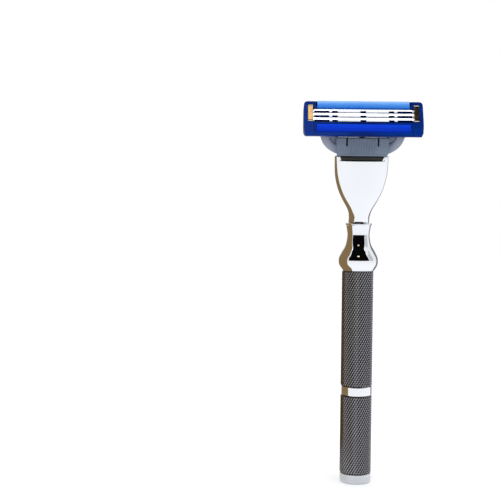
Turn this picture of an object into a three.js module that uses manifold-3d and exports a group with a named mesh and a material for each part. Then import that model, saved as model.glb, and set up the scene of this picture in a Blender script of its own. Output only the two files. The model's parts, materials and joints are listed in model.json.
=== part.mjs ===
// A three-blade cartridge razor, in millimetres. +Z runs up the handle, the blades face -Y and lie along X.
// The handle is a stack of turned sleeves on a tie rod; the neck carries a sprung dock for a pivoting cartridge.
import * as THREE from "three";
import { mergeVertices } from "three/addons/utils/BufferGeometryUtils.js";
import Module from "manifold-3d";

const wasm = await Module();
wasm.setup();

// Handle stack: the height where each turned piece ends, going up from the flat underside.
const capTop = 3.5;
const lowerGripTop = 31.95;
const ringTop = 35.35;
const upperGripTop = 77.4;
const collarTop = 94.7;
const seam = 0.05;
const gripRadius = 5.75;
const ringRadius = 5.62;
const capRadius = 5.62;
const edgeChamfer = 0.35;
const capEdgeRound = 0.8;
const rodRadius = 2;
const rodBoreRadius = 2.1;
const rodFoot = 1.3;
const rodTop = 92.95;
const turnedSegments = 44;

// Collar: a bulb that draws in to a waist and ends in a thin lip, as [radius, height] along its outside.
const collarOutline = [
  [5.85, upperGripTop + seam],
  [6.97, 79.3],
  [7.24, 81.0],
  [6.99, 82.55],
  [6.02, 84.5],
  [4.68, 86.95],
  [4.1, 90.05],
  [4.28, 92.15],
  [4.6, 93.9],
];
const collarSteps = 20;
const lipRadius = 4.85;
const lipThickness = 0.7;
const lipEdge = 0.12;
const spigotRadius = 2.8;
const spigotBoreRadius = 2.88;
const spigotFoot = 85.85;
const spigotSeat = 85.55;

// Neck: sections from the round root to the flat mouth. lean is the section's tilt in degrees.
const neckSections = [
  { height: 94.75, forward: 0.3, halfWidth: 3.85, halfThick: 3.85, power: 2, lean: 0 },
  { height: 97.15, forward: 1.3, halfWidth: 3.87, halfThick: 3.75, power: 2, lean: 16 },
  { height: 99.85, forward: 2.8, halfWidth: 4.55, halfThick: 3.6, power: 2.1, lean: 23 },
  { height: 103.25, forward: 4.3, halfWidth: 6.45, halfThick: 3.45, power: 2.2, lean: 18 },
  { height: 107.05, forward: 5.2, halfWidth: 8.15, halfThick: 3.4, power: 2.4, lean: 12 },
  { height: 111.85, forward: 6.05, halfWidth: 9.3, halfThick: 3.4, power: 3.0, lean: 10 },
  { height: 117.25, forward: 7, halfWidth: 9.6, halfThick: 3.4, power: 3.8, lean: 10 },
];
const neckSteps = 24;
const neckSides = 40;
const cheekInner = 8;

// Head frame: its origin is the middle of the neck's mouth, its own Z leans forward with the neck.
const mouthForward = 7;
const mouthHeight = 117.25;
const headLean = 10;

// How far the cutting boxes run on past the material they cut.
const past = 1;
const farFront = -6;
const farBack = 4;
const farHead = 12;

// Dock insert and the sprung plunger in it, in the head frame.
const dockAxisY = 0.6;
const tongueHalfWidth = 5.5;
const tongueFront = -1.2;
const tongueBack = 2.4;
const tongueTop = 7.6;
const shoulderTop = 1.6;
const shoulderHalfWidth = { foot: 7.2, top: 7.9 };
const shoulderHalfDepth = 3;
const dockBody = { halfWidth: 6.6, front: -2.2, back: 2.6, foot: -4.9 };
const dockStem = { halfWidth: 4.1, foot: -10.9 };
const pocketGap = 0.1;
const pocketFloor = -11.3;
const plungerRadius = 1.1;
const plungerBoreRadius = 1.2;
const springBoreRadius = 1.6;
const springBoreTop = -1.5;
const plungerTop = 10.69;
const plungerFlange = { radius: 1.45, top: -2.4, foot: -3.2 };
const springWire = 0.17;
const springCoilRadius = 1.15;
const springTurns = 8;
const springFoot = -10.85;
const springHead = -3.45;

// Connector: the yoke that pushes onto the dock and holds the pivot, in the head frame.
const yokeFoot = 1.7;
const yokeTop = 8.2;
const yokeHalfWidth = 9.3;
const yokeFootHalfWidth = 8.6;
const yokeFront = -3.3;
const yokeBack = 3.3;
const socketGap = 0.12;
const ribPitch = 0.92;
const ribCount = 11;
const ribWidth = 0.46;
const ribHeight = 0.16;
const fingerSlotX = 5.55;
const fingerSlotWidth = 0.6;
const fingerSlotFoot = 5.2;
const yokeFlareTop = yokeFoot + 0.8;
const ribInset = { foot: 0.5, head: 0.2 };
const wingFront = -2.9;
const wingBack = -0.7;
const wingBulge = [
  [12.2, 3.7],
  [14.3, 5.6],
];
const wingShoulder = yokeTop + 0.6;
const armInner = 13.4;
const armOuter = 14.95;
const armHeadRadius = 1.25;
const pivotPinRadius = 0.8;
const pivotPinEnd = 11.8;

// Pivot: where the cartridge turns, in the head frame, and how far its face leans back from the neck.
const pivotY = -1.78;
const pivotZ = 10.78;
const cartridgeLean = -27.5;

// Cartridge, in its own frame: origin on the pivot, -Y out of the shaving face, +Z towards the strip.
const faceY = -3.4;
const endFaceY = -3.75;
const endFaceInner = 17.3;
const housingBack = 1.6;
const housingFoot = -3.6;
const housingHead = 9.4;
const housingSide = {
  corner: 19.6,
  footBulge: 20.55,
  foot: [20.75, -2.4],
  widest: [21.05, 0.6],
  head: [20.9, 8.1],
};
const housingProfile = [
  [endFaceY, -3.1],
  [-3.35, housingFoot],
  [-2.3, housingFoot],
  [1.4, -1.5],
  [housingBack, -1],
  [housingBack, 7.6],
  [0.4, housingHead],
  [-3.25, housingHead],
  [endFaceY, 8.9],
];
const bay = { halfWidth: 18.7, back: -0.6, foot: 1.72, head: 6.97 };
const bladeEdges = [2.45, 4.15, 5.85];
const bladeHalfLength = 18.4;
const bladeLean = 22;
const bladeHeight = 1.15;
const bladeThick = 0.12;
const bevelLength = 0.3;
const edgeY = -3.35;
const supportGap = 0.02;
const supportThick = 0.2;
const platformStart = 0.42;
const platformEnd = 1.12;
const legBack = -0.95;
const legWindows = [
  [-17.2, -12],
  [-10.9, -9],
  [-1, 1],
  [9, 10.9],
  [12, 17.2],
];
const legWindowDepth = { front: -2.72, back: -1.15 };
const rinseSlots = [
  [-17.2, -12],
  [-10.9, -1.6],
  [1.6, 10.9],
  [12, 17.2],
];
const rinseSlotHeight = 0.6;
const guard = { halfLength: 16.5, foot: -2.15, head: 0.9, back: -2.4, bulge: 0.15 };
const strip = { halfLength: 16.2, foot: 7.0, head: 9.75, front: -3.75, back: -2.3 };
const stripEndSlot = { inner: 16.2, outer: 16.75, foot: 7.7, head: 9.1 };
const fitGap = 0.05;
const clip = {
  inner: 17.75,
  outer: 19.5,
  foot: 1.7,
  head: 8.2,
  thick: 0.3,
  front: -3.72,
  tab: 1.2,
  seatGap: 0.02,
};
const clipBack = 1.95;
const armSlot = { inner: 13.1, outer: 15.3, front: -1.6, top: 1.45 };
const pivotHoleRadius = 0.87;
const pivotHoleEnd = 11.5;
const cam = { lever: 2.38, radius: 0.8, halfWidth: 1.3, level: 20 };
const plungerRelief = { halfWidth: 1.5, front: 0.7, head: 0.9 };

const chrome = { color: 0xd9dbde, roughness: 0.06, metalness: 1 };
const satinSteel = { color: 0xc6c9cf, roughness: 0.32, metalness: 1 };
const gunmetal = { color: 0x4b4845, roughness: 0.38, metalness: 0.9 };
const springSteel = { color: 0x9a9da2, roughness: 0.35, metalness: 1 };
const bladeSteel = { color: 0xe4e7ea, roughness: 0.15, metalness: 1 };
const clipMetal = { color: 0xe6c98c, roughness: 0.18, metalness: 1 };
const blackPlastic = { color: 0x0e0f11, roughness: 0.35, metalness: 0 };
const greyBluePlastic = { color: 0x76879a, roughness: 0.42, metalness: 0 };
const navyPlastic = { color: 0x07215e, roughness: 0.25, metalness: 0 };
const guardRubber = { color: 0x0532c8, roughness: 0.5, metalness: 0 };
const lubeStrip = { color: 0x4f93f2, roughness: 0.4, metalness: 0 };

const radians = THREE.MathUtils.degToRad;

// A closed three.js geometry as a manifold solid.
function solid(geometry) {
  const bare = geometry.clone();
  bare.deleteAttribute("normal");
  bare.deleteAttribute("uv");
  const merged = mergeVertices(bare, 1e-4);
  const corners = merged.index.array;
  const kept = [];
  for (let i = 0; i < corners.length; i += 3) {
    const [a, b, c] = [corners[i], corners[i + 1], corners[i + 2]];
    if (a !== b && b !== c && c !== a) kept.push(a, b, c);
  }
  return new wasm.Manifold(
    new wasm.Mesh({
      numProp: 3,
      vertProperties: merged.attributes.position.array,
      triVerts: new Uint32Array(kept),
    }),
  );
}

function union(...solids) {
  return solids.reduce((sum, next) => sum.add(next));
}

function cut(from, ...tools) {
  return tools.reduce((left, tool) => left.subtract(tool), from);
}

function place(made, name, look, parent) {
  const mesh = made.getMesh();
  const geometry = new THREE.BufferGeometry();
  geometry.setAttribute("position", new THREE.BufferAttribute(mesh.vertProperties, 3));
  geometry.setIndex(new THREE.BufferAttribute(mesh.triVerts, 1));
  geometry.computeVertexNormals();
  const piece = new THREE.Mesh(geometry, new THREE.MeshStandardMaterial(look));
  piece.name = name;
  parent.add(piece);
}

function box([x0, x1], [y0, y1], [z0, z1]) {
  const geometry = new THREE.BoxGeometry(x1 - x0, y1 - y0, z1 - z0);
  return solid(geometry.translate((x0 + x1) / 2, (y0 + y1) / 2, (z0 + z1) / 2));
}

// The same box on both sides of the middle.
function boxPair([x0, x1], yRange, zRange) {
  return union(box([x0, x1], yRange, zRange), box([-x1, -x0], yRange, zRange));
}

function rodAlongZ(radius, y, [z0, z1], segments = 24) {
  const geometry = new THREE.CylinderGeometry(radius, radius, z1 - z0, segments);
  return solid(geometry.rotateX(Math.PI / 2).translate(0, y, (z0 + z1) / 2));
}

function rodAlongX(radius, [x0, x1], y, z, segments = 28) {
  const geometry = new THREE.CylinderGeometry(radius, radius, x1 - x0, segments);
  return solid(geometry.rotateZ(Math.PI / 2).translate((x0 + x1) / 2, y, z));
}

// A closed [radius, height] outline turned about Z.
function turned(outline) {
  const points = outline.map(([radius, height]) => new THREE.Vector2(radius, height));
  const closed = outline[0][0] > 0 ? [...points, points[0]] : points;
  return solid(new THREE.LatheGeometry(closed, turnedSegments).rotateX(Math.PI / 2));
}

// A [y, z] outline run along X.
function extrudeX(outline, [x0, x1]) {
  const shape = new THREE.Shape(outline.map(([y, z]) => new THREE.Vector2(y, z)));
  const geometry = new THREE.ExtrudeGeometry(shape, { depth: x1 - x0, bevelEnabled: false });
  const turn = new THREE.Matrix4().makeBasis(
    new THREE.Vector3(0, 1, 0),
    new THREE.Vector3(0, 0, 1),
    new THREE.Vector3(1, 0, 0),
  );
  return solid(geometry.applyMatrix4(turn).translate(x0, 0, 0));
}

// A shape drawn in x and z, run along Y.
function extrudeY(shape, [y0, y1], curveSegments = 6) {
  const settings = { depth: y1 - y0, bevelEnabled: false, curveSegments };
  const geometry = new THREE.ExtrudeGeometry(shape, settings);
  return solid(geometry.rotateX(Math.PI / 2).translate(0, y1, 0));
}

function mirrorX(made) {
  return made.mirror([1, 0, 0]);
}

// Rings of points joined into one skin with flat ends.
function loft(rings) {
  const sides = rings[0].length;
  const points = rings.flat();
  const faces = [];
  for (let row = 0; row + 1 < rings.length; row++) {
    for (let side = 0; side < sides; side++) {
      const next = (side + 1) % sides;
      const [a, b] = [row * sides + side, row * sides + next];
      faces.push(a, b, b + sides, a, b + sides, a + sides);
    }
  }
  const last = (rings.length - 1) * sides;
  for (let side = 1; side + 1 < sides; side++) {
    faces.push(0, side + 1, side);
    faces.push(last, last + side, last + side + 1);
  }
  return solid(new THREE.BufferGeometry().setFromPoints(points).setIndex(faces));
}

function makeEndCap() {
  const edge = [];
  for (let step = 0; step <= 6; step++) {
    const angle = (step / 6) * (Math.PI / 2);
    const inset = capEdgeRound * (1 - Math.sin(angle));
    edge.push([capRadius - inset, capEdgeRound * (1 - Math.cos(angle))]);
  }
  const top = capTop - seam;
  return turned([
    [0, 0],
    ...edge,
    [capRadius, top - edgeChamfer / 2],
    [capRadius - edgeChamfer / 2, top],
    [rodBoreRadius, top],
    [rodBoreRadius, rodFoot - seam],
    [0, rodFoot - seam],
  ]);
}

// A plain sleeve on the tie rod with both outer edges broken.
function makeSleeve(radius, foot, top) {
  return turned([
    [rodBoreRadius, foot],
    [radius - edgeChamfer, foot],
    [radius, foot + edgeChamfer],
    [radius, top - edgeChamfer],
    [radius - edgeChamfer, top],
    [rodBoreRadius, top],
  ]);
}

function makeCollar() {
  const curve = new THREE.SplineCurve(collarOutline.map(([r, z]) => new THREE.Vector2(r, z)));
  const outside = curve.getPoints(collarSteps).map((point) => [point.x, point.y]);
  return turned([
    [rodBoreRadius, upperGripTop + seam],
    ...outside,
    [lipRadius - lipEdge, collarTop - lipThickness],
    [lipRadius, collarTop - lipThickness + lipEdge],
    [lipRadius, collarTop - lipEdge],
    [lipRadius - lipEdge, collarTop],
    [spigotBoreRadius, collarTop],
    [spigotBoreRadius, spigotSeat],
    [rodBoreRadius, spigotSeat],
  ]);
}

// One value of the neck's sections, smoothed along the neck; along runs from 0 to 1.
function neckValue(key, along) {
  const curve = new THREE.SplineCurve(
    neckSections.map((section, i) => new THREE.Vector2(i, section[key])),
  );
  return curve.getPoint(along).y;
}

function neckRing(along) {
  const [height, forward] = [neckValue("height", along), neckValue("forward", along)];
  const [halfWidth, halfThick] = [neckValue("halfWidth", along), neckValue("halfThick", along)];
  const exponent = 2 / neckValue("power", along);
  const lean = radians(neckValue("lean", along));
  const ring = [];
  for (let side = 0; side < neckSides; side++) {
    const angle = (side / neckSides) * 2 * Math.PI;
    const [c, s] = [Math.cos(angle), Math.sin(angle)];
    const across = halfWidth * Math.sign(c) * Math.abs(c) ** exponent;
    const through = halfThick * Math.sign(s) * Math.abs(s) ** exponent;
    ring.push(
      new THREE.Vector3(
        across,
        through * Math.cos(lean) - forward,
        height + through * Math.sin(lean),
      ),
    );
  }
  return ring;
}

// The neck casting: round root, flared paddle, a spigot below and a stepped pocket for the dock above.
// Beside the dock's shoulder the mouth's two side walls stand up as cheeks.
function makeNeck(toHead) {
  const rings = [];
  for (let step = 0; step <= neckSteps; step++) rings.push(neckRing(step / neckSteps));
  const headUp = new THREE.Vector3(0, 0, 1).transformDirection(toHead);
  rings.push(neckRing(1).map((point) => point.addScaledVector(headUp, shoulderTop)));
  const spigot = rodAlongZ(spigotRadius, 0, [spigotFoot, neckSections[0].height + past], 32);
  const tieRodHole = rodAlongZ(rodBoreRadius, 0, [spigotFoot - past, rodTop + seam]);
  const betweenCheeks = box([-cheekInner, cheekInner], [farFront, farBack], [0, shoulderTop + past]);
  const wide = box(
    [-dockBody.halfWidth - pocketGap, dockBody.halfWidth + pocketGap],
    [dockBody.front - pocketGap, dockBody.back + pocketGap],
    [dockBody.foot - pocketGap, past],
  );
  const deep = box(
    [-dockStem.halfWidth - pocketGap, dockStem.halfWidth + pocketGap],
    [dockBody.front - pocketGap, dockBody.back + pocketGap],
    [pocketFloor, past],
  );
  const pocket = union(betweenCheeks, wide, deep).transform(toHead.toArray());
  return cut(union(loft(rings), spigot), tieRodHole, pocket);
}

function makeDockInsert() {
  const body = box(
    [-dockBody.halfWidth, dockBody.halfWidth],
    [dockBody.front, dockBody.back],
    [dockBody.foot, shoulderTop / 2],
  );
  const stem = box(
    [-dockStem.halfWidth, dockStem.halfWidth],
    [dockBody.front, dockBody.back],
    [dockStem.foot, shoulderTop / 2],
  );
  const shoulder = new THREE.Shape([
    new THREE.Vector2(-shoulderHalfWidth.foot, seam),
    new THREE.Vector2(shoulderHalfWidth.foot, seam),
    new THREE.Vector2(shoulderHalfWidth.top, shoulderTop),
    new THREE.Vector2(-shoulderHalfWidth.top, shoulderTop),
  ]);
  const tongue = box(
    [-tongueHalfWidth, tongueHalfWidth],
    [tongueFront, tongueBack],
    [shoulderTop / 2, tongueTop],
  );
  const whole = union(
    body,
    stem,
    extrudeY(shoulder, [-shoulderHalfDepth, shoulderHalfDepth]),
    tongue,
  );
  const plungerBore = rodAlongZ(plungerBoreRadius, dockAxisY, [springBoreTop - past, tongueTop + past]);
  const springBore = rodAlongZ(springBoreRadius, dockAxisY, [dockStem.foot - past, springBoreTop]);
  return cut(whole, plungerBore, springBore);
}

function makePlunger() {
  const { radius, top, foot } = plungerFlange;
  return union(
    rodAlongZ(plungerRadius, dockAxisY, [foot, plungerTop]),
    rodAlongZ(radius, dockAxisY, [foot, top]),
  );
}

class Coil extends THREE.Curve {
  getPoint(along, target = new THREE.Vector3()) {
    const angle = along * springTurns * 2 * Math.PI;
    return target.set(
      springCoilRadius * Math.cos(angle),
      dockAxisY + springCoilRadius * Math.sin(angle),
      THREE.MathUtils.lerp(springFoot + springWire, springHead - springWire, along),
    );
  }
}

function makePlungerSpring() {
  const wire = new THREE.Shape().absarc(0, 0, springWire, 0, 2 * Math.PI);
  const settings = { steps: springTurns * 12, extrudePath: new Coil(), curveSegments: 3 };
  return solid(new THREE.ExtrudeGeometry(wire, settings));
}

// One wing: a curved web out from the panel and an arm up to the pivot.
function makeWing() {
  const outline = new THREE.Shape();
  outline.moveTo(yokeHalfWidth - past, yokeFlareTop);
  outline.lineTo(yokeHalfWidth, yokeFlareTop);
  outline.bezierCurveTo(...wingBulge[0], ...wingBulge[1], armOuter, wingShoulder);
  outline.lineTo(armOuter, pivotZ);
  outline.lineTo(armInner, pivotZ);
  outline.lineTo(armInner, yokeTop);
  outline.lineTo(yokeHalfWidth - past, yokeTop);
  const armHead = rodAlongX(armHeadRadius, [armInner, armOuter], pivotY, pivotZ);
  const pin = rodAlongX(pivotPinRadius, [pivotPinEnd, armOuter], pivotY, pivotZ);
  return union(extrudeY(outline, [wingFront, wingBack]), armHead, pin);
}

function makeConnector() {
  const front = new THREE.Shape([
    new THREE.Vector2(-yokeFootHalfWidth, yokeFoot),
    new THREE.Vector2(yokeFootHalfWidth, yokeFoot),
    new THREE.Vector2(yokeHalfWidth, yokeFlareTop),
    new THREE.Vector2(yokeHalfWidth, yokeTop),
    new THREE.Vector2(-yokeHalfWidth, yokeTop),
    new THREE.Vector2(-yokeHalfWidth, yokeFlareTop),
  ]);
  let whole = extrudeY(front, [yokeFront, yokeBack]);
  for (let rib = 0; rib < ribCount; rib++) {
    const x = (rib - (ribCount - 1) / 2) * ribPitch;
    const span = [x - ribWidth / 2, x + ribWidth / 2];
    const length = [yokeFoot + ribInset.foot, yokeTop - ribInset.head];
    whole = whole.add(box(span, [yokeFront - ribHeight, yokeFront + past], length));
  }
  const wing = makeWing();
  const socket = box(
    [-tongueHalfWidth - socketGap, tongueHalfWidth + socketGap],
    [tongueFront - socketGap, tongueBack + socketGap],
    [yokeFoot - past, tongueTop + socketGap],
  );
  const window = rodAlongZ(plungerBoreRadius + socketGap, dockAxisY, [yokeFoot, yokeTop + past]);
  const slots = boxPair(
    [fingerSlotX - fingerSlotWidth / 2, fingerSlotX + fingerSlotWidth / 2],
    [yokeFront - past, tongueFront],
    [fingerSlotFoot, yokeTop + past],
  );
  return cut(union(whole, wing, mirrorX(wing)), socket, window, slots);
}

// The front outline of the cartridge: widest just above the guard, with rounded corners.
function cartridgeOutline() {
  const { corner, footBulge, foot, widest, head: headCorner } = housingSide;
  const outline = new THREE.Shape();
  outline.moveTo(-corner, housingFoot);
  outline.lineTo(corner, housingFoot);
  outline.quadraticCurveTo(footBulge, housingFoot, ...foot);
  outline.lineTo(...widest);
  outline.lineTo(...headCorner);
  outline.quadraticCurveTo(headCorner[0], housingHead, corner, housingHead);
  outline.lineTo(-corner, housingHead);
  outline.quadraticCurveTo(-headCorner[0], housingHead, -headCorner[0], headCorner[1]);
  outline.lineTo(-widest[0], widest[1]);
  outline.lineTo(-foot[0], foot[1]);
  outline.quadraticCurveTo(-footBulge, housingFoot, -corner, housingFoot);
  return outline;
}

function makeHousing() {
  const halfWidth = housingSide.widest[0] + past;
  const side = extrudeX(housingProfile, [-halfWidth, halfWidth]);
  const block = side.intersect(extrudeY(cartridgeOutline(), [farFront, farBack]));
  const noseY = cam.lever * Math.cos(radians(-cartridgeLean + cam.level));
  const noseZ = cam.lever * Math.sin(radians(-cartridgeLean + cam.level));
  const nose = rodAlongX(cam.radius, [-cam.halfWidth, cam.halfWidth], noseY, noseZ);
  const middleFace = box([-endFaceInner, endFaceInner], [farFront, faceY], [farFront, farHead]);
  const bladeBay = box([-bay.halfWidth, bay.halfWidth], [farFront, bay.back], [bay.foot, bay.head]);
  const guardGroove = box(
    [-guard.halfLength - fitGap, guard.halfLength + fitGap],
    [farFront, guard.back + fitGap],
    [guard.foot - fitGap, guard.head + fitGap],
  );
  const stripGroove = box(
    [-strip.halfLength - fitGap, strip.halfLength + fitGap],
    [farFront, strip.back + fitGap],
    [strip.foot - fitGap, farHead],
  );
  const stripEnds = boxPair(
    [stripEndSlot.inner, stripEndSlot.outer],
    [farFront, strip.back],
    [stripEndSlot.foot, stripEndSlot.head],
  );
  const armSpan = [armSlot.inner, armSlot.outer];
  const armSlots = boxPair(armSpan, [armSlot.front, farBack], [farFront, armSlot.top]);
  const pinHole = rodAlongX(pivotHoleRadius, [pivotHoleEnd, armSlot.inner + past], 0, 0);
  const pinHoles = union(pinHole, mirrorX(pinHole));
  const relief = box(
    [-plungerRelief.halfWidth, plungerRelief.halfWidth],
    [plungerRelief.front, farBack],
    [farFront, plungerRelief.head],
  );
  const clipX = [clip.inner - fitGap, clip.outer + fitGap];
  const clipFoot = [clip.foot - fitGap, clip.foot + clip.thick + fitGap];
  const clipHead = [clip.head - clip.thick - fitGap, clip.head + fitGap];
  const clipSeat = clip.front + clip.thick + clip.seatGap;
  const clipFace = boxPair(clipX, [farFront, clipSeat], [clipFoot[0], clipHead[1]]);
  const clipLegs = union(
    boxPair(clipX, [farFront, farBack], clipFoot),
    boxPair(clipX, [farFront, farBack], clipHead),
  );
  let housing = cut(
    union(block, nose),
    middleFace,
    bladeBay,
    guardGroove,
    stripGroove,
    stripEnds,
    armSlots,
    pinHoles,
    relief,
    clipFace,
    clipLegs,
  );
  for (const edge of bladeEdges) {
    for (const span of rinseSlots) {
      const height = [edge, edge + rinseSlotHeight];
      housing = cut(housing, box(span, [bay.back - past, farBack], height));
    }
  }
  return housing;
}

// A point on a blade's section: distance up the blade from its edge, and depth behind its front.
function onBlade(edge, along, behind) {
  const lean = radians(bladeLean);
  return [
    edgeY + along * Math.sin(lean) + behind * Math.cos(lean),
    edge + along * Math.cos(lean) - behind * Math.sin(lean),
  ];
}

function makeBlade(edge) {
  const section = [
    onBlade(edge, 0, 0),
    onBlade(edge, bevelLength, bladeThick),
    onBlade(edge, bladeHeight, bladeThick),
    onBlade(edge, bladeHeight, 0),
  ];
  return extrudeX(section, [-bladeHalfLength, bladeHalfLength]);
}

// The bent steel strip behind a blade: a sloping platform and a pierced leg straight back.
function makeBladeSupport(edge) {
  const front = bladeThick + supportGap;
  const toe = onBlade(edge, platformStart, front);
  const top = onBlade(edge, platformEnd, front);
  const topBack = onBlade(edge, platformEnd, front + supportThick);
  const legTop = toe[1] + supportThick;
  const slope = Math.tan(radians(bladeLean));
  const bend = [topBack[0] - (topBack[1] - legTop) * slope, legTop];
  const section = [toe, [legBack, toe[1]], [legBack, legTop], bend, topBack, top];
  let support = extrudeX(section, [-bladeHalfLength, bladeHalfLength]);
  for (const span of legWindows) {
    const { front: near, back: far } = legWindowDepth;
    support = cut(support, box(span, [near, far], [toe[1] - past, legTop + fitGap]));
  }
  return support;
}

function makeGuardStrip() {
  const section = [
    [guard.back, guard.foot],
    [guard.back, guard.head],
    [faceY, guard.head],
    [faceY - guard.bulge, guard.head - 0.5],
    [faceY - guard.bulge, guard.foot + 0.6],
    [faceY, guard.foot],
  ];
  return extrudeX(section.reverse(), [-guard.halfLength, guard.halfLength]);
}

function makeLubeStrip() {
  const section = [
    [strip.back, strip.head - 0.5],
    [strip.back, strip.foot],
    [strip.front + 0.35, strip.foot],
    [strip.front, strip.foot + 0.7],
    [strip.front + 0.05, strip.head - 0.9],
    [strip.front + 0.6, strip.head - 0.15],
    [strip.back - 0.5, strip.head],
  ];
  return extrudeX(section.reverse(), [-strip.halfLength, strip.halfLength]);
}

// A metal band clip: a front bar over the blade ends, two legs through the housing, tabs bent in behind.
function makeClip() {
  const xRange = [clip.inner, clip.outer];
  const back = clipBack + clip.thick;
  const bar = box(xRange, [clip.front, clip.front + clip.thick], [clip.foot, clip.head]);
  const lowLeg = box(xRange, [clip.front, back], [clip.foot, clip.foot + clip.thick]);
  const highLeg = box(xRange, [clip.front, back], [clip.head - clip.thick, clip.head]);
  const lowTab = box(xRange, [clipBack, back], [clip.foot, clip.foot + clip.tab]);
  const highTab = box(xRange, [clipBack, back], [clip.head - clip.tab, clip.head]);
  return union(bar, lowLeg, highLeg, lowTab, highTab);
}

const razor = new THREE.Group();
const head = new THREE.Group();
head.position.set(0, -mouthForward, mouthHeight);
head.rotation.x = radians(headLean);
const cartridge = new THREE.Group();
cartridge.position.set(0, pivotY, pivotZ);
cartridge.rotation.x = radians(cartridgeLean);
razor.add(head);
head.add(cartridge);
head.updateMatrix();

place(makeEndCap(), "end_cap", satinSteel, razor);
place(makeSleeve(gripRadius, capTop, lowerGripTop), "lower_grip", gunmetal, razor);
place(makeSleeve(ringRadius, lowerGripTop + seam, ringTop - seam), "centre_ring", chrome, razor);
place(makeSleeve(gripRadius, ringTop, upperGripTop), "upper_grip", gunmetal, razor);
place(rodAlongZ(rodRadius, 0, [rodFoot, rodTop]), "tie_rod", satinSteel, razor);
place(makeCollar(), "collar", chrome, razor);
place(makeNeck(head.matrix), "neck", chrome, razor);

place(makeDockInsert(), "dock_insert", blackPlastic, head);
place(makePlunger(), "plunger", blackPlastic, head);
place(makePlungerSpring(), "plunger_spring", springSteel, head);
place(makeConnector(), "connector", greyBluePlastic, head);

place(makeHousing(), "cartridge_housing", navyPlastic, cartridge);
place(makeGuardStrip(), "guard_strip", guardRubber, cartridge);
place(makeLubeStrip(), "lubricating_strip", lubeStrip, cartridge);
place(makeClip(), "clip_right", clipMetal, cartridge);
place(mirrorX(makeClip()), "clip_left", clipMetal, cartridge);
bladeEdges.forEach((edge, i) => {
  place(makeBlade(edge), `blade_${i + 1}`, bladeSteel, cartridge);
  place(makeBladeSupport(edge), `blade_support_${i + 1}`, bladeSteel, cartridge);
});

export default razor;
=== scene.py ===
# A three-blade cartridge razor standing on a white table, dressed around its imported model.
# Pieces are shaped in millimetres in the frame of the part they belong to, then set in place in metres.
import json
import math

import bmesh
import bpy
from mathutils import Matrix, Vector


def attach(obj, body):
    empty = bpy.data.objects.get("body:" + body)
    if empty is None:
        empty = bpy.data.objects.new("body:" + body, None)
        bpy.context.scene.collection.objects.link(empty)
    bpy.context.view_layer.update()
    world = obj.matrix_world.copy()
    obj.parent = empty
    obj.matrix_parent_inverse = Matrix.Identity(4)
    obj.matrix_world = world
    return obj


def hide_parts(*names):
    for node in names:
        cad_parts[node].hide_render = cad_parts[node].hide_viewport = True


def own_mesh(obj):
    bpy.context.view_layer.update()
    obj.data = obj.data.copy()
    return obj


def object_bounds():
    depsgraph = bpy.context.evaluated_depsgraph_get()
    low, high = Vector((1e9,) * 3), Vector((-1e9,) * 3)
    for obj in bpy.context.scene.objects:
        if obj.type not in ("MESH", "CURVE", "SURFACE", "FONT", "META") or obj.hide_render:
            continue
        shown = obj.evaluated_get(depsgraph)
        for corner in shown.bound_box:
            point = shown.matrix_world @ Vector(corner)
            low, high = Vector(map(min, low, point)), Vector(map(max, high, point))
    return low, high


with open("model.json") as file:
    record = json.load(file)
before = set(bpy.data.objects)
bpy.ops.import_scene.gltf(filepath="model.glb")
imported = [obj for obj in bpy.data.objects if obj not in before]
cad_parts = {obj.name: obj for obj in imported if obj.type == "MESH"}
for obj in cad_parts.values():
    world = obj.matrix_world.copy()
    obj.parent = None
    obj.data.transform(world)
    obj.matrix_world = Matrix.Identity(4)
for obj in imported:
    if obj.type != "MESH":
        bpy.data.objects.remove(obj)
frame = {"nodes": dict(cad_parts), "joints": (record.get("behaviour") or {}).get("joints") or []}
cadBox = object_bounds()
mm = 0.001
print("frame loaded:", len(frame["nodes"]), "nodes")

# local frames, from the joints
joints = {joint["name"]: joint for joint in frame["joints"]}
across = Vector((1, 0, 0))
upHead = Vector(joints["cartridge_release"]["axis"])
backHead = upHead.cross(across)
inward = Vector(joints["blade_1_slide"]["axis"])
upCartridge = across.cross(inward)
pivot = Vector(joints["cartridge_pivot"]["pos_m"])
pivotInHead = {"y": -1.78, "z": 10.78}


def localFrame(origin, back, up):
    # local millimetres to metres in the row frame
    turn = Matrix((across, back, up)).transposed().to_4x4()
    return Matrix.Translation(origin) @ turn @ Matrix.Scale(mm, 4)


handleFrame = Matrix.Scale(mm, 4)
mouth = pivot - (backHead * pivotInHead["y"] + upHead * pivotInHead["z"]) * mm
headFrame = localFrame(mouth, backHead, upHead)
cartridgeFrame = localFrame(pivot, inward, upCartridge)


def spanIn(place, node):
    # lowest and highest corner of a CAD node in a local frame, in millimetres
    inverse = place.inverted()
    points = [inverse @ vertex.co for vertex in frame["nodes"][node].data.vertices]
    low = Vector([min(point[i] for point in points) for i in range(3)])
    high = Vector([max(point[i] for point in points) for i in range(3)])
    return low, high


# mesh tools, all in millimetres
def cleaned(mesh, flatten=False):
    work = bmesh.new()
    work.from_mesh(mesh)
    bmesh.ops.remove_doubles(work, verts=work.verts, dist=1e-4)
    if flatten:
        bmesh.ops.dissolve_limit(work, angle_limit=math.radians(0.6), verts=work.verts, edges=work.edges)
    bmesh.ops.recalc_face_normals(work, faces=work.faces)
    work.to_mesh(mesh)
    work.free()
    return mesh


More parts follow.
